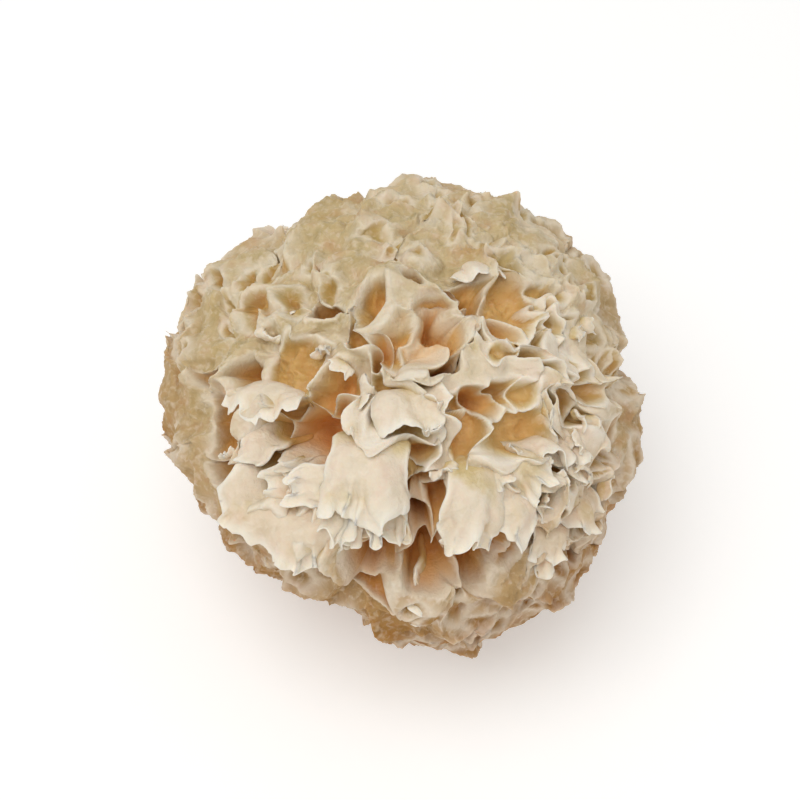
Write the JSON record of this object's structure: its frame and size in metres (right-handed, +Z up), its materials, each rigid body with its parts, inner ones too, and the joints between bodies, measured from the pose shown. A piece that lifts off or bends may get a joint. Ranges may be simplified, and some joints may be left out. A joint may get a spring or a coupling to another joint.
{
  "type": "dried snow fungus",
  "caption": "Whole dried head of snow fungus: thin ruffled cream fronds crowd out of an amber middle into a round head, which rests on a flat cut base.",
  "frame": {"origin": "middle of the flat cut face under the head", "axes": "+Z up out of the cut base through the middle of the head, -Y towards the front, whose upper part is the best side"},
  "size_m": [0.103, 0.1078, 0.0947],
  "materials": {
    "dried_frond": "dried fungus tissue: matt and papery on the pale outer fronds, horny and amber deep between them and on the cut base"
  },
  "bodies": {
    "root": {"fruiting_body": "dried_frond"}
  },
  "joints": []
}
